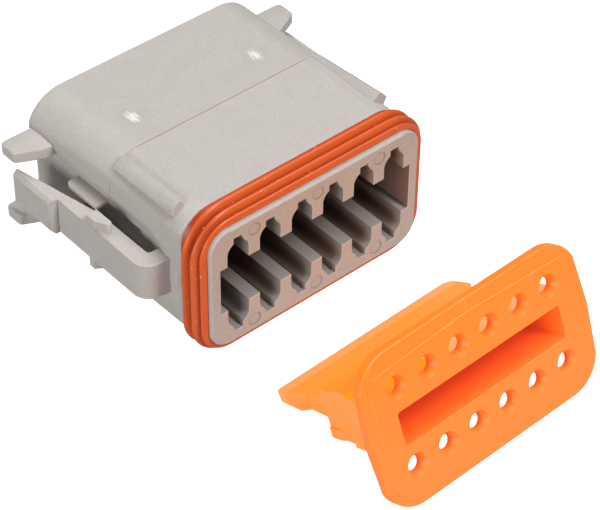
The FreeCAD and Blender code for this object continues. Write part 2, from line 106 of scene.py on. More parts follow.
floor_material, floor_tree, floor_shader = new_material("pale_floor")
floor_shader.inputs["Base Color"].default_value = (FLOOR_GREY, FLOOR_GREY, FLOOR_GREY, 1)
floor_shader.inputs["Roughness"].default_value = FLOOR_ROUGHNESS
floor_shader.inputs["Emission Color"].default_value = (1, 1, 1, 1)
seen = floor_tree.nodes.new("ShaderNodeLightPath")
lift = floor_tree.nodes.new("ShaderNodeMath")
lift.operation = "MULTIPLY"
lift.inputs[1].default_value = FLOOR_LIFT
floor_tree.links.new(seen.outputs["Is Camera Ray"], lift.inputs[0])
floor_tree.links.new(lift.outputs[0], floor_shader.inputs["Emission Strength"])
bpy.ops.mesh.primitive_plane_add(size=FLOOR_SIZE, location=(0, 0, 0))
floor = bpy.context.object
floor.name = "floor"
floor.data.materials.append(floor_material)
print("floor is", FLOOR_SIZE, "m wide")

# %% [markdown]
# ## Light
# Large soft panels light the object, as in a light tent. The strongest one
# stands high in front, so that it rakes over the mating face and leaves the
# deep cavities dark. The overhead one keeps the top light, and a low one on the
# left opens up that side, which is the shaded one.

# %% Light
PANELS = {      # place in m, side in m, power in W
    "overhead": ((0.15, 0.35, 0.85), 0.7, 4.8),
    "high_front": ((0.20, -0.55, 0.80), 0.35, 7.8),
    "side": ((-0.88, -0.15, 0.14), 0.6, 6.4),
}
AIM = Vector((0, 0, 0.01))      # m, in the middle between the pieces
SURROUNDINGS = 0.03     # strength of the even light from all round


def panel(name, place, side, power):
    """A square soft panel that faces the object."""
    data = bpy.data.lights.new(name, "AREA")
    data.shape = "SQUARE"
    data.size = side
    data.energy = power
    light = bpy.data.objects.new(name, data)
    light.location = place
    light.rotation_euler = (AIM - Vector(place)).to_track_quat("-Z", "Y").to_euler()
    bpy.context.collection.objects.link(light)


for name, values in PANELS.items():
    panel(name, *values)

world = bpy.data.worlds.new("studio")
world.use_nodes = True
surround = world.node_tree.nodes["Background"]
surround.inputs["Color"].default_value = (1, 1, 1, 1)
surround.inputs["Strength"].default_value = SURROUNDINGS
bpy.context.scene.world = world
bpy.context.scene.view_settings.view_transform = "Standard"
print("panels:", ", ".join(PANELS))

# %% [markdown]
# ## Where the two pieces stand
# The plug rests on its seal and the back edge of its body, and the lock on its
# plate and the end of its tongue, so both are tipped. Marks and tints are far
# easier to place in the upright frame of each piece: x runs along the cavities,
# y from the mating face or the plate backwards, and z up.

# %% Upright frames
# Origin in mm and turn in degrees
PLUG = ((0, -0.987, 12.987), (-2.121, 0, 0))
LOCK = ((1.0, -34.226, 11.628), (-25.649, 0, 1.5))


def into_own_frame(placement):
    """Matrix from scene coordinates to mm in the upright frame of a piece."""
    origin, turn = placement
    rotation = Euler([math.radians(v) for v in turn]).to_matrix().to_4x4()
    return Matrix.Scale(1 / MM, 4) @ (Matrix.Translation(Vector(origin) * MM) @ rotation).inverted()


for label, placement in (("plug", PLUG), ("lock", LOCK)):
    middle = into_own_frame(placement) @ Vector((0, 0, 0))
    print("the scene's origin in the", label, "frame:", [round(v, 1) for v in middle], "mm")

# %% [markdown]
# ## Edges as they come out of a mould
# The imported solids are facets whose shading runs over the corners, and a
# corner without any rounding catches no light. Each solid is copied and its
# facets are joined again where they lie in one plane. Then an edge is told
# from a facet of a round face by how far the surface would bulge over it: a
# round face was cut into facets that bulge by a hundredth of a millimetre at
# most. Real edges get the small rounding that a mould's cutter leaves, by a
# bevel modifier, and weighted normals keep the flat faces flat. A bevel on
# every edge would be simpler, but it tears the thin ribs between the cavities.

# %% Where edges are rounded
# All in mm, in the upright frames
MOUTH = (18.6, 0.05, 9.5)       # half width, depth and half height that hold the cavities' mouths
OUTSIDE = (19.3, 6.0, 10.6)     # the outside of the housing lies beyond these
HOUSING_LEAST = 0.20            # an edge is rounded where both its faces are broader
PLATE_BACK = 1.7                # the lock's plate ends before this
PLATE_LEAST = 0.10
TONGUE_LEAST = 0.60
NUB = (15.0, 10.0, 14.6)        # half width, front and back that hold the small nubs
HOLLOW_HALF = (15.8, 2.65)      # half width and half height of the lock's hollow
HOLLOW_END = 13.1


def on_housing(x, y, z):
    """Mouths of the cavities, and the outside behind the shoulder."""
    mouth = abs(x) < MOUTH[0] and y < MOUTH[1] and abs(z) < MOUTH[2]
    outside = y > OUTSIDE[1] and (abs(x) > OUTSIDE[0] or abs(z) > OUTSIDE[2])
    return HOUSING_LEAST if mouth or outside else math.inf


def on_lock(x, y, z):
    """The plate, and the tongue without its nubs and its hollow."""
    if y < PLATE_BACK:
        return PLATE_LEAST
    nub = NUB[1] < y < NUB[2] and abs(x) > NUB[0]
    hollow_wall = abs(z) < HOLLOW_HALF[1] and y < HOLLOW_END
    return math.inf if nub or hollow_wall else TONGUE_LEAST


def nowhere(x, y, z):
    return math.inf


# %% Telling real edges from facets
WELD = 1e-4 * MM            # facets share their corners again
FLAT = math.radians(0.3)    # facets that lie in one plane
BULGE = 0.018 * MM          # most that a facet of a round face bulges
STEEP = math.radians(50)    # an edge this steep is one between narrow faces too
LEAST_TURN = math.radians(25)   # an edge has to turn by this much to be rounded


def breadth(face):
    """Width of a strip, half the width of a square."""
    return 2 * face.calc_area() / face.calc_perimeter()


def is_edge(edge):
    """Whether an edge is a real one, not the seam between two facets of a round face.

    A facet of a round face bulges by an eighth of its breadth times the turn at its edge.
    """
    if len(edge.link_faces) != 2:
        return True
    angle = edge.calc_face_angle(0)
    return angle > STEEP or angle * min(map(breadth, edge.link_faces)) / 8 > BULGE


# %% Copies with crisp, slightly rounded edges


def baked(piece):
    """Applies the modifiers of a piece to its mesh."""
    done = bpy.data.meshes.new_from_object(piece.evaluated_get(bpy.context.evaluated_depsgraph_get()))
    piece.modifiers.clear()
    piece.data = done
    return done


def joined_form(name):
    """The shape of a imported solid, with facets joined where they lie in one plane."""
    solid = bmesh.new()
    solid.from_mesh(nodes[name].data)
    bmesh.ops.remove_doubles(solid, verts=solid.verts, dist=WELD)
    bmesh.ops.dissolve_limit(solid, angle_limit=FLAT, verts=solid.verts, edges=solid.edges)
    solid.verts.index_update()
    mesh = bpy.data.meshes.new(name + "_form")
    mesh.from_pydata([v.co[:] for v in solid.verts], [], [[v.index for v in f.verts] for f in solid.faces])
    for _ in ("faces", "rounded edges"):
        mesh.materials.append(None)
    solid.free()
    return mesh


def round_edges(piece, upright, least_breadth, rounding):
    """Rounds the convex edges between broad faces. Returns how many, and the volume before."""
    form = bmesh.new()
    form.from_mesh(piece.data)
    before = form.calc_volume()
    weight = form.edges.layers.float.new("bevel_weight_edge")
    rounded = 0
    for edge in form.edges:
        wanted = is_edge(edge) and edge.is_convex and edge.calc_face_angle(0) > LEAST_TURN
        needed = max(least_breadth(*(upright @ v.co)) for v in edge.verts)
        wanted = wanted and min(map(breadth, edge.link_faces)) > needed * MM
        edge[weight] = 1.0 if wanted else 0.0
        rounded += wanted
    form.to_mesh(piece.data)
    form.free()
    bevel = piece.modifiers.new("rounding", "BEVEL")
    bevel.width = rounding
    bevel.segments = 1
    bevel.limit_method = "WEIGHT"
    bevel.material = 1
    bevel.use_clamp_overlap = False
    baked(piece)
    return rounded, before


def shade_edges(piece):
    """Smooth faces, sharp edges, flat faces kept flat. Returns the volume and the open edges."""
    form = bmesh.new()
    form.from_mesh(piece.data)
    volume = form.calc_volume()
    gaps = sum(not e.is_manifold for e in form.edges)
    for edge in form.edges:
        edge.smooth = not is_edge(edge)
    for face in form.faces:
        face.smooth = True
    form.to_mesh(piece.data)
    form.free()
    weighted = piece.modifiers.new("weighted", "WEIGHTED_NORMAL")
    weighted.keep_sharp = True
    weighted.weight = 100
    baked(piece)
    return volume, gaps


def edged_copy(name, slot, placement, least_breadth, rounding):
    """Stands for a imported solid: same shape, with rounded strips that use the second material slot."""
    piece = bpy.data.objects.new(name + "_finished", joined_form(name))
    bpy.context.collection.objects.link(piece)
    rounded, before = round_edges(piece, into_own_frame(placement), least_breadth, rounding)
    after, gaps = shade_edges(piece)
    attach(piece, "root")
    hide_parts(name)
    print(piece.name, "has", len(piece.data.polygons), "faces,", rounded, "rounded edges,", gaps,
          "open edges, and", f"{(after / before - 1) * 1e6:.0f} millionths more volume")
    return piece


# %% The four solids
# name: slot, placement, where edges are rounded, and width of the rounding
# The silicone's ribs are round already
EDGING = {
    "housing": ("housing", PLUG, on_housing, 0.07 * MM),
    "interface_seal": ("seal", PLUG, nowhere, 0.0),
    "wire_grommet": ("grommet", PLUG, nowhere, 0.0),
    "wedge_lock": ("lock", LOCK, on_lock, 0.06 * MM),
}
pieces = {name: edged_copy(name, *values) for name, values in EDGING.items()}

# %% [markdown]
# ## Helpers for materials
# The plastics have many small effects, each a handful of nodes. Wiring them one
# link at a time would hide what they do, so these short functions read like
# sums: each one adds a node and gives back what comes out of it.

# %% Helpers for node trees
MIX_IN = (0, 6, 7)      # factor and the two colours of a Mix node
MIX_OUT = 2
BUMP_HEIGHT = 0.02      # mm


def feed(tree, socket, value):
    """Links value to a socket, or sets it: value is another socket, a number, a vector or a colour."""
    if isinstance(value, bpy.types.NodeSocket):
        tree.links.new(value, socket)
    elif isinstance(value, tuple) and len(value) < len(socket.default_value):
        socket.default_value = (*value, 1)
    else:
        socket.default_value = value


def feed_by_name(tree, node, **values):
    """Feeds the inputs of a node. An underscore in a name stands for a space."""
    for label, value in values.items():
        feed(tree, node.inputs[label.replace("_", " ")], value)


def math_node(tree, operation, *values, clamp=False):
    node = tree.nodes.new("ShaderNodeMath")
    node.operation = operation
    node.use_clamp = clamp
    for socket, value in zip(node.inputs, values):
        feed(tree, socket, value)
    return node.outputs[0]


def vector_math(tree, operation, *values):
    node = tree.nodes.new("ShaderNodeVectorMath")
    node.operation = operation
    for socket, value in zip(node.inputs, values):
        feed(tree, socket, value)
    return node.outputs["Value" if operation in ("LENGTH", "DISTANCE") else "Vector"]


def texture(tree, kind, vector, scale, **values):
    """A texture node that is read at vector."""
    node = tree.nodes.new(kind)
    feed_by_name(tree, node, Vector=vector, Scale=scale, **values)
    return node.outputs


def ramp(tree, value, low, high):
    """0 below low and 1 above high, smooth between."""
    node = tree.nodes.new("ShaderNodeMapRange")
    node.interpolation_type = "SMOOTHSTEP"
    feed_by_name(tree, node, Value=value, From_Min=low, From_Max=high)
    return node.outputs["Result"]


def mix(tree, factor, a, b, blend="MIX"):
    """Mixes two colours."""
    node = tree.nodes.new("ShaderNodeMix")
    node.data_type = "RGBA"
    node.blend_type = blend
    for index, value in zip(MIX_IN, (factor, a, b)):
        feed(tree, node.inputs[index], value)
    return node.outputs[MIX_OUT]


def tint(tree, colour, mask, strength, wanted):
    """Moves a colour towards the wanted one where the mask is 1."""
    return mix(tree, math_node(tree, "MULTIPLY", mask, strength), colour, wanted)


def add_bump(tree, shader, height, strength):
    """Raises the surface of a material a little."""
    bump = tree.nodes.new("ShaderNodeBump")
    feed_by_name(tree, bump, Strength=strength, Distance=BUMP_HEIGHT * MM, Height=height)
    feed(tree, shader.inputs["Normal"], bump.outputs["Normal"])


print("bumps are up to", BUMP_HEIGHT, "mm high")

# %% [markdown]
# ## Masks by place
# A mark sits at a known place on a piece, so its mask is a question about
# coordinates in the piece's upright frame. An image would need a UV map and
# would blur close up, while a question stays sharp. Generated coordinates
# stretch with the size of each piece, so Object coordinates are read instead.

# %% Masks by place


def components(tree, vector):
    node = tree.nodes.new("ShaderNodeSeparateXYZ")
    feed(tree, node.inputs[0], vector)
    return node.outputs


def in_metres(place):
    return tuple(v * MM for v in place)


def own_frame(tree, origin, turn):
    """Object coordinates, and the same in the upright frame of a tipped piece, both in metres."""
    here = tree.nodes.new("ShaderNodeTexCoord").outputs["Object"]
    node = tree.nodes.new("ShaderNodeMapping")
    node.vector_type = "TEXTURE"
    radians = tuple(map(math.radians, turn))
    feed_by_name(tree, node, Vector=here, Location=in_metres(origin), Rotation=radians)
    return here, node.outputs[0]


def size_of(tree, value):
    return math_node(tree, "ABSOLUTE", value)


def below(tree, value, limit):
    """1 where a coordinate is less than limit, in mm."""
    return math_node(tree, "LESS_THAN", value, limit * MM)


def above(tree, value, limit):
    """1 where a coordinate is more than limit, in mm."""
    return math_node(tree, "GREATER_THAN", value, limit * MM)


def within(tree, value, half):
    """1 where a coordinate lies between -half and half, in mm."""
    return below(tree, size_of(tree, value), half)


def close_to(tree, value, middle, half):
    """1 where a coordinate lies within half of middle, both in mm."""
    return within(tree, math_node(tree, "SUBTRACT", value, middle * MM), half)


def all_of(tree, *masks):
    """1 where all the masks are 1."""
    product = masks[0]
    for mask in masks[1:]:
        product = math_node(tree, "MULTIPLY", product, mask)
    return product


def fade(tree, value, limits):
    """From 0 to 1 between two coordinates in mm."""
    low, high = limits
    return ramp(tree, value, low * MM, high * MM)


print("the plug's frame starts at", in_metres(PLUG[0]), "m")

# %% [markdown]
# ## Effects that several finishes share
# Moulded plastic copies the spark-eroded surface of its mould, so it has a
# very fine grain. It also picks up dust, faint rubbed places and short
# scratches. Each of these is a node group with its own sizes, built once and
# placed in every material that needs it.

# %% Helpers for node groups
FLOAT, VECTOR = "NodeSocketFloat", "NodeSocketVector"


def group(name, inputs, outputs):
    """An empty node group that reads a Vector. inputs are numbers by name, outputs are names of masks."""
    tree = bpy.data.node_groups.new(name, "ShaderNodeTree")
    tree.interface.new_socket("Vector", in_out="INPUT", socket_type=VECTOR)
    for label, value in inputs.items():
        tree.interface.new_socket(label, in_out="INPUT", socket_type=FLOAT).default_value = value
    for label in outputs:
        tree.interface.new_socket(label, in_out="OUTPUT", socket_type=FLOAT)
    given = tree.nodes.new("NodeGroupInput").outputs
    result = tree.nodes.new("NodeGroupOutput").inputs
    print("group", name, "takes", ", ".join(inputs), "and gives", ", ".join(outputs))
    return tree, given, result


def place(tree, group_tree, vector, **values):
    """Places a node group in a material, reading at vector."""
    node = tree.nodes.new("ShaderNodeGroup")
    node.node_tree = group_tree
    feed_by_name(tree, node, Vector=vector, **values)
    return node.outputs


# %% Grain of a spark-eroded mould
CLOUDS_PER_GRAIN = 0.06     # the mottle is this much coarser


def mould_grain():
    tree, given, result = group("mould_grain", {"Size": 0.2 * MM}, ["Height", "Mottle"])
    per_metre = math_node(tree, "DIVIDE", 1.0, given["Size"])
    fine = texture(tree, "ShaderNodeTexNoise", given["Vector"], per_metre, Detail=2.0, Roughness=0.6)
    coarse = texture(tree, "ShaderNodeTexNoise", given["Vector"],
                     math_node(tree, "MULTIPLY", per_metre, CLOUDS_PER_GRAIN), Detail=3.0, Roughness=0.55)
    feed(tree, result["Height"], fine["Fac"])
    feed(tree, result["Mottle"], coarse["Fac"])
    return tree


grain = mould_grain()

# %% Dust specks


def dust_specks():
    """Size is a share of Spacing, and Share tells how many of the places hold a speck."""
    tree, given, result = group("dust_specks", {"Spacing": 3 * MM, "Size": 0.05, "Share": 0.3}, ["Mask"])
    cells = texture(tree, "ShaderNodeTexVoronoi", given["Vector"],
                    math_node(tree, "DIVIDE", 1.0, given["Spacing"]))
    spot = math_node(tree, "LESS_THAN", cells["Distance"], given["Size"])
    by_cell = tree.nodes.new("ShaderNodeSeparateColor")
    feed(tree, by_cell.inputs["Color"], cells["Color"])
    chosen = math_node(tree, "LESS_THAN", by_cell.outputs["Red"], given["Share"])
    feed(tree, result["Mask"], all_of(tree, spot, chosen))
    return tree


dust = dust_specks()

# %% Short fine scratches
SCRATCH_TURN = (0.4, 0.9, 0.7)
SCRATCH_STRETCH = (1.0, 14.0, 14.0)     # long noise, squeezed across
SCRATCH_LEVEL = 0.86                    # of the noise, above which there is a scratch
SCRATCH_GAIN = 0.12                     # how far Amount lowers that level
SCRATCH_SOFT = 0.03


def fine_scratches():
    tree, given, result = group("fine_scratches", {"Length": 4 * MM, "Amount": 0.5}, ["Mask"])
    stretch = tree.nodes.new("ShaderNodeMapping")
    feed_by_name(tree, stretch, Vector=given["Vector"], Rotation=SCRATCH_TURN, Scale=SCRATCH_STRETCH)
    lines = texture(tree, "ShaderNodeTexNoise", stretch.outputs["Vector"],
                    math_node(tree, "DIVIDE", 1.0, given["Length"]), Detail=1.0)
    level = math_node(tree, "SUBTRACT", SCRATCH_LEVEL,
                      math_node(tree, "MULTIPLY", given["Amount"], SCRATCH_GAIN))
    feed(tree, result["Mask"], ramp(tree, lines["Fac"], level, math_node(tree, "ADD", level, SCRATCH_SOFT)))
    return tree


scratches = fine_scratches()

# %% [markdown]
# ## Marks on the housing
# A mould leaves a line where its halves meet and round marks where its pins
# push the part out, and a plug that has lain among others is rubbed white
# where it touched them. The deep cavities are darkened with depth as well,
# because light has to come back out of a narrow hole many times, and the
# housing's plain grey would leave them lighter than the real ones.

# %% Places of the marks
# All in mm, in the plug's upright frame
CAVITIES = (18.3, 9.3)      # half width and half height that hold the cavities
CAVITY_FADE = (-5.0, 9.0)   # they darken between these depths, and a little at the mouth already
WALL_FROM = 17.3            # just inside the slot's right wall
MARK_STEP = 11.68           # between ejector marks
MARK_Z = 8.55
MARK_R = 1.02
MARK_FLOOR = 0.12           # a little deeper than the marks
MARK_LINE = (0.09, 0.3)     # half width and depth of a mark's rim
PART_LINE = (21.31, 0.08)   # edge of the parting line, and its half width
PART_TOP = 11.2             # only on top, above this
RIDGE_LINE = (37.5, 0.07)   # line across each fin, and its half width
RIDGE_FROM = 21.0           # the fins stand outside this half width
SCUFFS = [((-11.72, 27.03, 11.7), 2.3), ((11.06, 26.95, 11.7), 2.2)]    # place and radius
SCUFF_SHAPE = (1.35, 0.75, 1.0)     # shorter across the plug, longer along it
SCUFF_STREAKS = (3.0, 0.6, 1.0)     # and its streaks too
STREAKS_PER_M = 1100.0
SCUFF_REACH = 0.75          # how much nearness counts beside the streaks
SCUFF_LEVELS = (0.78, 1.12) # of both together, from untouched to white
DISC_R = 3.0                # darker disc round a rubbed place
DISC_SOFT = 1.0

WHITE = (1.0, 1.0, 1.0)
# Painted shade: the cavities darken to DEEP far down, and the slot's right wall gets a brown painted shade,
# warmed as if by orange light from the lock
DEEP = (0.23, 0.185, 0.175)         # what is left of the colour deep inside
WALL_PAINTED_SHADE = (0.67, 0.45, 0.38)     # the right wall faces the lock and is tinted by it


def cavity_shade(tree, plug):
    """White outside, a brown painted shade on the slot's right wall, and painted shade falling to DEEP far
    down in the cavities.
    """
    x, y, z = components(tree, plug)
    inside = all_of(tree, within(tree, x, CAVITIES[0]), within(tree, z, CAVITIES[1]),
                    above(tree, y, MARK_FLOOR))
    wall = all_of(tree, inside, above(tree, x, WALL_FROM))
    deep = all_of(tree, inside, fade(tree, y, CAVITY_FADE))
    return mix(tree, deep, mix(tree, wall, WHITE, WALL_PAINTED_SHADE), DEEP)


def mark_rims(tree, plug):
    """1 on the rims of the six round marks of the mating face."""
    x, y, z = components(tree, plug)
    off_x = math_node(tree, "PINGPONG", x, MARK_STEP / 2 * MM)
    off_z = math_node(tree, "SUBTRACT", size_of(tree, z), MARK_Z * MM)
    square_x = math_node(tree, "MULTIPLY", off_x, off_x)
    square_z = math_node(tree, "MULTIPLY", off_z, off_z)
    reach = math_node(tree, "SQRT", math_node(tree, "ADD", square_x, square_z))
    half, depth = MARK_LINE
    return all_of(tree, close_to(tree, reach, MARK_R, half), below(tree, y, depth))


def scuff_marks(tree, plug):
    """1 where the top is rubbed white."""
    streaks = texture(tree, "ShaderNodeTexNoise", vector_math(tree, "MULTIPLY", plug, SCUFF_STREAKS),
                      STREAKS_PER_M, Detail=3.0, Roughness=0.7)
    total = 0.0
    for centre, radius in SCUFFS:
        away = vector_math(tree, "SUBTRACT", plug, in_metres(centre))
        far = vector_math(tree, "LENGTH", vector_math(tree, "MULTIPLY", away, SCUFF_SHAPE))
        near = math_node(tree, "SUBTRACT", 1.0, math_node(tree, "DIVIDE", far, radius * MM), clamp=True)
        total = math_node(tree, "ADD", near, total)
    worn = math_node(tree, "MULTIPLY_ADD", total, SCUFF_REACH, streaks["Fac"])
    return ramp(tree, worn, *SCUFF_LEVELS)


def scuff_disc(tree, plug, centre):
    """1 in the disc round a rubbed place, soft at its rim."""
    far = vector_math(tree, "DISTANCE", plug, in_metres(centre))
    return fade(tree, math_node(tree, "SUBTRACT", DISC_R * MM, far), (0.0, DISC_SOFT))


def parting_edge(tree, plug):
    """1 along the raised edge of the parting line on top."""
    _, y, z = components(tree, plug)
    return all_of(tree, close_to(tree, y, *PART_LINE), above(tree, z, PART_TOP))


def fin_ridge(tree, plug):
    """1 along the line across each fin."""
    x, y, _ = components(tree, plug)
    return all_of(tree, close_to(tree, y, *RIDGE_LINE), above(tree, size_of(tree, x), RIDGE_FROM))


print(len(SCUFFS), "rubbed places, and a round mark every", MARK_STEP, "mm")

# %% [markdown]
# ## Grey housing plastic
# The housing is a warm light grey, quite matt, with the mould's grain. One flat
# grey would look like clay, so two greys are mixed by the grain, soft clouds
# and specks go over them, and the marks come last. The mating face gets a
# painted warm reflection of the orange lock that it faces.

# %% Housing plastic
HOUSING_GREY = (0.432, 0.400, 0.370)
HOUSING_LIGHT = (0.532, 0.497, 0.464)
# Painted reflection: the mating face is warmed by orange light from the lock, more towards its top
FACE_LOCK_REFLECTION = (0.98, 0.93, 0.87)
FACE_FADE = (-22.0, 10.0)           # mm
LINE_BROWN = (0.44, 0.35, 0.26)
GRAIN_LEVELS = (0.3, 0.7)           # of the noise, from the darker grey to the lighter one
CLOUD_LEVELS = (0.35, 0.65)
ROUGH_GAIN = 0.18                   # roughness grows by this much with the grain
ROUGH_LEAST = 0.46
# Strength and colour of each effect
CLOUD = (0.10, (0.62, 0.60, 0.58))
DISC = (0.16, (0.38, 0.36, 0.34))
DUST_PALE = (0.34, (0.80, 0.78, 0.76))
RUBBED = (0.8, (0.87, 0.83, 0.78))
PARTING = (0.55, LINE_BROWN)
RIDGE = (0.30, LINE_BROWN)
MARK_DARK = (0.45, (0.16, 0.13, 0.12))


def housing_plastic():
    material, tree, shader = new_material("housing_plastic")
    here, plug = own_frame(tree, *PLUG)
    fine = place(tree, grain, here, Size=0.20 * MM)
    colour = mix(tree, ramp(tree, fine["Height"], *GRAIN_LEVELS), HOUSING_GREY, HOUSING_LIGHT)
    colour = tint(tree, colour, ramp(tree, fine["Mottle"], *CLOUD_LEVELS), *CLOUD)
    for centre, _ in SCUFFS:
        colour = tint(tree, colour, scuff_disc(tree, plug, centre), *DISC)
    speck = place(tree, dust, here, Spacing=0.7 * MM, Size=0.12, Share=0.40)
    colour = tint(tree, colour, speck["Mask"], *DUST_PALE)
    colour = tint(tree, colour, scuff_marks(tree, plug), *RUBBED)
    colour = tint(tree, colour, parting_edge(tree, plug), *PARTING)
    colour = tint(tree, colour, fin_ridge(tree, plug), *RIDGE)
    _, y, z = components(tree, plug)
    # Painted warm reflection of the orange lock on the mating face
    face = all_of(tree, below(tree, y, MARK_FLOOR), fade(tree, z, FACE_FADE))
    colour = mix(tree, face, colour, mix(tree, 1.0, colour, FACE_LOCK_REFLECTION, blend="MULTIPLY"))
    colour = tint(tree, colour, mark_rims(tree, plug), *MARK_DARK)
    # Painted shade in the cavities and on the slot's right wall
    colour = mix(tree, 1.0, colour, cavity_shade(tree, plug), blend="MULTIPLY")
    rough = math_node(tree, "MULTIPLY_ADD", fine["Height"], ROUGH_GAIN, ROUGH_LEAST)
    feed_by_name(tree, shader, Base_Color=colour, Roughness=rough)
    add_bump(tree, shader, fine["Height"], strength=0.35)
    print(material.name, "has", len(tree.nodes), "nodes")
    return material


# %% [markdown]
# ## Silicone seals
# The seals are a red-orange silicone. It is smooth and slightly shiny, and
# light sinks into it a little way, with a faint painted glow added. Its grooves
# get painted shade, where light is caught between the ribs, and its crests a
# paler, painted lit tone. The nose is a rounded rectangle, so the height over it
# is a short sum, and the colour follows that height.

# %% Silicone
# Painted shade in the grooves, and a paler painted lit tone on the crests
SILICONE_SHADED_GROOVE = (0.36, 0.034, 0.009)
SILICONE_LIT_CREST = (0.61, 0.100, 0.016)
# Painted glow: light of its own that stands in for light coming through the silicone
SILICONE_GLOW = (0.90, 0.15, 0.02)
SILICONE_NICK = (0.45, (0.95, 0.60, 0.45))      # strength and colour
NOSE_HALF = (19.475, 10.70)     # mm, half width and half height of the nose
NOSE_R = 3.5
CREST_FADE = (0.90, 1.75)       # mm over the nose
LIP_END = 1.20                  # mm
GROMMET_FROM = 20.0             # mm


def rib_height(tree, plug):
    """Height over the nose, in metres."""
    across = vector_math(tree, "ABSOLUTE", vector_math(tree, "MULTIPLY", plug, (1.0, 0.0, 1.0)))
    corner = in_metres((NOSE_R - NOSE_HALF[0], 0.0, NOSE_R - NOSE_HALF[1]))
    past = vector_math(tree, "MAXIMUM", vector_math(tree, "ADD", across, corner), (0.0, 0.0, 0.0))
    return math_node(tree, "SUBTRACT", vector_math(tree, "LENGTH", past), NOSE_R * MM)


def crest_light_mask(tree, plug):
    """0 in the grooves of the ring, which get painted shade, and 1 on its crests, on the lip in front and
    on the grommet at the back.
    """
    y = components(tree, plug)[1]
    crest = fade(tree, rib_height(tree, plug), CREST_FADE)
    crest = math_node(tree, "MAXIMUM", crest, below(tree, y, LIP_END))
    return math_node(tree, "MAXIMUM", crest, above(tree, y, GROMMET_FROM))


def silicone():
    material, tree, shader = new_material("silicone")
    here, plug = own_frame(tree, *PLUG)
    fine = place(tree, grain, here, Size=0.3 * MM)
    # Painted shade in the grooves, lighter on the crests
    colour = mix(tree, crest_light_mask(tree, plug), SILICONE_SHADED_GROOVE, SILICONE_LIT_CREST)
    nick = place(tree, scratches, here, Length=1.6 * MM, Amount=0.55)
    colour = tint(tree, colour, nick["Mask"], *SILICONE_NICK)
    # The emission is a painted glow
    feed_by_name(tree, shader, Base_Color=colour, Roughness=0.38, Subsurface_Weight=0.10,
                 Subsurface_Radius=(1.0, 0.3, 0.1), Subsurface_Scale=0.4 * MM,
                 Emission_Color=SILICONE_GLOW, Emission_Strength=0.09)
    add_bump(tree, shader, fine["Height"], strength=0.25)
    print(material.name, "has", len(tree.nodes), "nodes")
    return material


# %% [markdown]
# ## Orange wedge lock
# The lock is a bright orange plastic that lets some light through, so even its
# shaded faces glow, and its deep hollow turns red. Subsurface scattering does a
# part of that, and a little light of its own, a painted glow, does the rest.
# Painted light and shade change the colour over the piece as well: yellow on
# the hollow shoulder and lighter on its right part, pale at the bevelled tip
# and low on the plate, darker on the side faces and deep in the hollow.

# %% Places on the lock
# All in mm, in the lock's upright frame
SHOULDER_END = 8.5              # behind it the tongue starts
LIT_FROM = -5.0                 # to the right of it the shoulder is lit through the pin holes
TIP_START = 22.6                # bevelled end of the tongue
PLATE_FADE = (-12.0, 12.0)      # lower and upper edge of the plate
HOLLOW_FADE = (-0.2, 7.0)
TICK = (0.07, 9.9)              # half width and inner end


def hollow(tree, lock):
    """Two masks: 1 in the hollow, and depth in it from 0 to 1."""
    x, y, z = components(tree, lock)
    inside = all_of(tree, within(tree, x, HOLLOW_HALF[0]), within(tree, z, HOLLOW_HALF[1]),
                    below(tree, y, HOLLOW_END))
    return inside, all_of(tree, inside, fade(tree, y, HOLLOW_FADE))


def plate_tick(tree, lock):
    """1 on the short lines at the middle of the plate's upper and lower edges."""
    x, y, z = components(tree, lock)
    outer = above(tree, size_of(tree, z), TICK[1])
    return all_of(tree, within(tree, x, TICK[0]), outer, below(tree, y, PLATE_BACK))


print("the hollow is", 2 * HOLLOW_HALF[0], "mm wide and", HOLLOW_END, "mm deep")

# %% Lock plastic
# Painted light and shade: the plate is paler low down, lit from the white floor; the shoulder's top, its
# right part and the bevelled tip are painted lighter; side faces are painted darker than top faces; the
# hollow is painted darker with depth
LOCK_ORANGE = (1.0, 0.240, 0.022)   # upper part of the plate
PLATE_FLOOR_LIGHT = (1.0, 0.252, 0.044)     # its lower part, near the white floor
SHOULDER_PAINTED_LIGHT = (1.0, 0.35, 0.010)    # top of the shoulder, which is hollow and lets more light through
PINHOLE_PAINTED_LIGHT = (1.0, 0.60, 0.30)        # the shoulder's right part
LOCK_TONGUE = (1.0, 0.30, 0.032)
SIDE_PAINTED_SHADE = (1.0, 0.285, 0.085)
TIP_PAINTED_LIGHT = (1.0, 0.40, 0.14)
HOLLOW_PAINTED_SHADE = (0.70, 0.072, 0.020)
# Pale orange: the painted highlight of the lock's rounded edges, and the colour of the ticks
LOCK_EDGE = (1.0, 0.40, 0.11)
# Painted glow: light of their own for the plate, the tongue and the hollow
PLATE_GLOW = (0.55, 0.092, 0.008)
TONGUE_GLOW = (0.90, 0.25, 0.010)
HOLLOW_GLOW = (0.28, 0.036, 0.010)
UPWARD = (0.2, 0.6)                 # upward share of the normal, of a side face and of a top face
# Strength and colour of each effect
TICK_PALE = (0.8, LOCK_EDGE)
LOCK_SPECK = (0.5, (0.45, 0.05, 0.01))
LOCK_NICK = (0.25, (1.0, 0.60, 0.25))


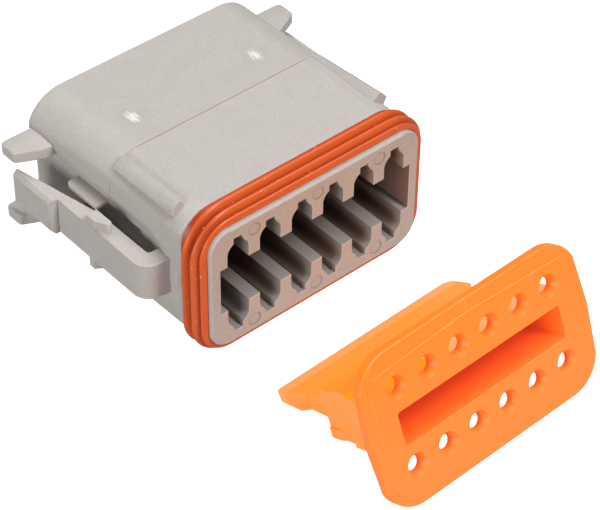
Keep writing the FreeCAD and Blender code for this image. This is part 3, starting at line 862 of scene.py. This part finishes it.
def lock_plastic():
    material, tree, shader = new_material("lock_plastic")
    here, lock = own_frame(tree, *LOCK)
    fine = place(tree, grain, here, Size=0.35 * MM)
    inside, deep = hollow(tree, lock)
    x, y, z = components(tree, lock)
    behind = math_node(tree, "SUBTRACT", above(tree, y, PLATE_BACK), inside, clamp=True)
    upward = components(tree, tree.nodes.new("ShaderNodeNewGeometry").outputs["Normal"])[2]

    # Painted light and shade: paler low on the plate, lighter on the shoulder, its right part, the top
    # faces and the tip, darker on the side faces
    plate = mix(tree, fade(tree, z, PLATE_FADE), PLATE_FLOOR_LIGHT, LOCK_ORANGE)
    shoulder = mix(tree, above(tree, x, LIT_FROM), SHOULDER_PAINTED_LIGHT, PINHOLE_PAINTED_LIGHT)
    top = mix(tree, below(tree, y, SHOULDER_END), LOCK_TONGUE, shoulder)
    tongue = mix(tree, ramp(tree, upward, *UPWARD), SIDE_PAINTED_SHADE, top)
    colour = mix(tree, above(tree, y, TIP_START), mix(tree, behind, plate, tongue), TIP_PAINTED_LIGHT)
    colour = tint(tree, colour, plate_tick(tree, lock), *TICK_PALE)
    # Painted shade, deeper in the hollow
    colour = mix(tree, deep, colour, HOLLOW_PAINTED_SHADE)
    speck = place(tree, dust, here, Spacing=4.0 * MM, Size=0.03, Share=0.10)
    colour = tint(tree, colour, speck["Mask"], *LOCK_SPECK)
    nick = place(tree, scratches, here, Length=3.0 * MM, Amount=0.30)
    colour = tint(tree, colour, nick["Mask"], *LOCK_NICK)

    # Painted glow, by place on the lock
    glow = mix(tree, deep, mix(tree, behind, PLATE_GLOW, TONGUE_GLOW), HOLLOW_GLOW)
    feed_by_name(tree, shader, Base_Color=colour, Roughness=0.36, Subsurface_Weight=0.12,
                 Subsurface_Radius=(1.0, 0.35, 0.05), Subsurface_Scale=1.5 * MM,
                 Emission_Color=glow, Emission_Strength=0.45)
    add_bump(tree, shader, fine["Height"], strength=0.10)
    print(material.name, "has", len(tree.nodes), "nodes")
    return material


# %% [markdown]
# ## Edges
# A moulded edge catches light along its length. Edges could be found by a
# Bevel node in the material, but the bevel modifier has already made strips of
# their own on the second slot, and they follow the real edges exactly. They get
# a plain, paler plastic: a painted highlight along each edge.

# %% Dress the solids
# Painted highlight: the rounded edge strips get paler colours, the lock's with a little light of its own
EDGE_HIGHLIGHT_CREAM = (0.62, 0.53, 0.44)
LOCK_EDGE_HIGHLIGHT_GLOW = 0.16


def plain_finish(name, colour, glow):
    """One colour all over, with a little light of its own."""
    material, tree, shader = new_material(name)
    feed_by_name(tree, shader, Base_Color=colour, Roughness=0.4, Emission_Color=colour,
                 Emission_Strength=glow)
    return material


rubber = silicone()
# The rounded edges get a painted highlight
FINISHES = {        # of the faces and of the rounded edges
    "housing": (housing_plastic(), plain_finish("housing_edge", EDGE_HIGHLIGHT_CREAM, 0.0)),
    "interface_seal": (rubber, rubber),
    "wire_grommet": (rubber, rubber),
    "wedge_lock": (lock_plastic(), plain_finish("lock_edge", LOCK_EDGE, LOCK_EDGE_HIGHLIGHT_GLOW)),
}
for name, finishes in FINISHES.items():
    for index, finish in enumerate(finishes):
        pieces[name].data.materials[index] = finish
    print(name, "wears", " and ".join(sorted({finish.name for finish in finishes})))

# %% [markdown]
# ## Flecks on the silicone
# Silicone holds on to dust and to tiny crumbs of its own flash, and they stand
# proud of the surface and catch the light. A shader could only paint them.
# Geometry Nodes scatter small flattened grains over the ring instead, each
# turned with the surface under it, and the seed keeps them where they are.

# %% A node tree that scatters grains
GRAIN_LEAST = (0.6, 0.4, 0.4)       # of the grain size, along, across and in height
GRAIN_MOST = (2.6, 1.0, 0.7)
GRAIN_FACES = 20                    # of one grain


def grain_scatter():
    tree = bpy.data.node_groups.new("grains_on_a_surface", "GeometryNodeTree")
    sockets = {"Surface": "NodeSocketGeometry", "Density": FLOAT, "Grain Size": FLOAT,
               "Seed": "NodeSocketInt", "Material": "NodeSocketMaterial"}
    for label, kind in sockets.items():
        tree.interface.new_socket(label, in_out="INPUT", socket_type=kind)
    tree.interface.new_socket("Grains", in_out="OUTPUT", socket_type="NodeSocketGeometry")
    make = tree.nodes.new
    given, result = make("NodeGroupInput").outputs, make("NodeGroupOutput").inputs

    def random_vector(low, high):
        node = make("FunctionNodeRandomValue")
        node.data_type = "FLOAT_VECTOR"
        feed_by_name(tree, node, Min=low, Max=high, Seed=given["Seed"])
        return node.outputs["Value"]

    points = make("GeometryNodeDistributePointsOnFaces")
    feed_by_name(tree, points, Mesh=given["Surface"], Density=given["Density"], Seed=given["Seed"])
    one = make("GeometryNodeMeshIcoSphere")
    feed_by_name(tree, one, Subdivisions=1, Radius=given["Grain Size"])
    spin = make("FunctionNodeRotateRotation")
    spin.rotation_space = "LOCAL"
    any_turn = random_vector((0, 0, 0), (0, 0, math.tau))
    feed_by_name(tree, spin, Rotation=points.outputs["Rotation"], Rotate_By=any_turn)
    laid = make("GeometryNodeInstanceOnPoints")
    feed_by_name(tree, laid, Points=points.outputs["Points"], Instance=one.outputs["Mesh"],
                 Rotation=spin.outputs["Rotation"], Scale=random_vector(GRAIN_LEAST, GRAIN_MOST))
    real = make("GeometryNodeRealizeInstances")
    feed(tree, real.inputs["Geometry"], laid.outputs["Instances"])
    dressed = make("GeometryNodeSetMaterial")
    feed_by_name(tree, dressed, Geometry=real.outputs["Geometry"], Material=given["Material"])
    feed(tree, result["Grains"], dressed.outputs["Geometry"])
    print(tree.name, "has", len(tree.nodes), "nodes")
    return tree


# %% Flecks
FLECKS_PER_M2 = 1.1e5
FLECK_SIZE = 0.065 * MM
FLECK_SEED = 11
FLECK_PALE = (0.92, 0.72, 0.60)
# Painted glow: a little light of their own, so the flecks stand out
FLECK_GLOW = 0.10


def scatter(name, tree, surface, **values):
    """A piece of grains over the surface of another piece."""
    piece = bpy.data.objects.new(name, surface.data.copy())
    bpy.context.collection.objects.link(piece)
    modifier = piece.modifiers.new("grains", "NODES")
    modifier.node_group = tree
    for item in tree.interface.items_tree:
        label = item.name.replace(" ", "_")
        if label in values:
            modifier[item.identifier] = values[label]
    mesh = baked(piece)
    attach(piece, "root")
    print(name, "has", len(mesh.polygons) // GRAIN_FACES, "grains")


fleck_finish = plain_finish("pale_fleck", FLECK_PALE, FLECK_GLOW)
scatter("silicone_flecks", grain_scatter(), pieces["interface_seal"], Density=FLECKS_PER_M2,
        Grain_Size=FLECK_SIZE, Seed=FLECK_SEED, Material=fleck_finish)
